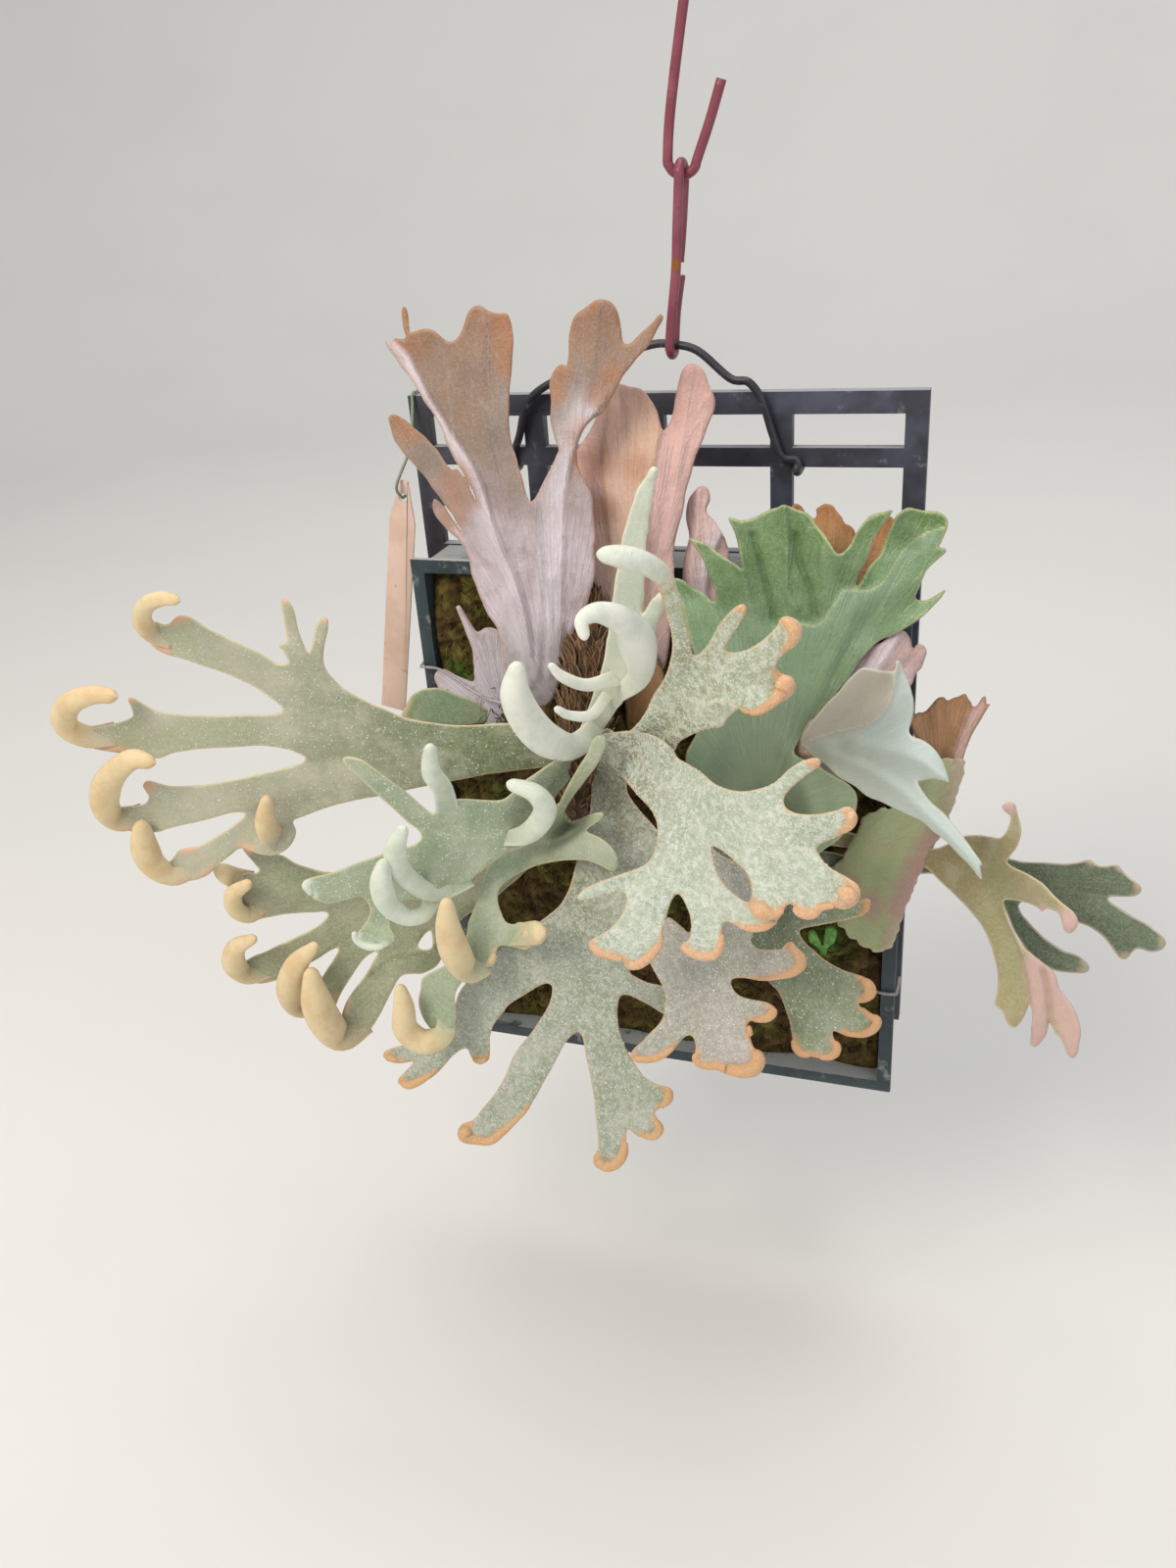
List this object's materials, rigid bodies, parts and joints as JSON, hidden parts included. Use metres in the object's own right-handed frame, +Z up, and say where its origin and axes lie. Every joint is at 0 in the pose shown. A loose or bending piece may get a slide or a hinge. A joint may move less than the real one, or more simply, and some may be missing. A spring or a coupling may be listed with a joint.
{
  "type": "potted staghorn fern",
  "caption": "Hanging staghorn fern: forked felted fronds with curled tips and papery shield leaves on a moss-filled basket with a lattice back and wire hooks.",
  "frame": {"origin": "inside top of the upper hook's bight, where a rail bears", "axes": "+Z up along the hang, +X to the right as seen from the front, +Y towards the lattice's back; the fern faces -Y"},
  "size_m": [0.387, 0.1581, 0.4486],
  "materials": {
    "lattice_plastic": "weathered matt with pale mineral stains",
    "basket_plastic": "satin",
    "moss": "fibrous",
    "coated_wire": "smooth coated",
    "hanger_wire": "smooth coated",
    "label_plastic": "matt, blank",
    "label_wire": "satin",
    "clear_line": "translucent",
    "scaly_stem": "scaly matt",
    "bud_felt": "felted",
    "frond_felt": "matt, white felted",
    "shield_papery": "papery matt",
    "shield_fresh": "satin bloom",
    "sprout_green": "satin"
  },
  "bodies": {
    "root": {"grid_panel": "lattice_plastic", "pot": "basket_plastic", "moss_root_ball": "moss", "hook_upper": "coated_wire", "hook_lower": "coated_wire", "wire_hanger": "hanger_wire", "plant_label": "label_plastic", "label_wire": "label_wire", "tie_line_left": "clear_line", "tie_line_right": "clear_line", "rhizome": "scaly_stem", "rhizome_side": "scaly_stem", "frond_left_long": "frond_felt", "frond_centre_upright": "frond_felt", "frond_centre_right": "frond_felt", "frond_right_broad": "frond_felt", "frond_mid_left": "frond_felt", "frond_double": "frond_felt", "frond_bottom_centre": "frond_felt", "frond_left_low": "frond_felt", "frond_bottom_right": "frond_felt", "frond_low_right_dark": "frond_felt", "frond_right_long": "frond_felt", "frond_right_dark": "frond_felt", "shield_tall_front": "shield_papery", "shield_tall_back": "shield_papery", "shield_old_rust": "shield_papery", "shield_green_fan": "shield_fresh", "shield_young": "shield_fresh", "shield_pink_lilac": "shield_papery", "shield_right_low": "shield_fresh", "shield_dried_right": "shield_papery", "shield_small_pink": "shield_papery", "shield_dried_tips": "shield_papery", "shield_low_left": "shield_papery", "leaf_small_round": "frond_felt", "moss_sprout": "sprout_green", "pup_bud": "bud_felt"}
  },
  "joints": []
}
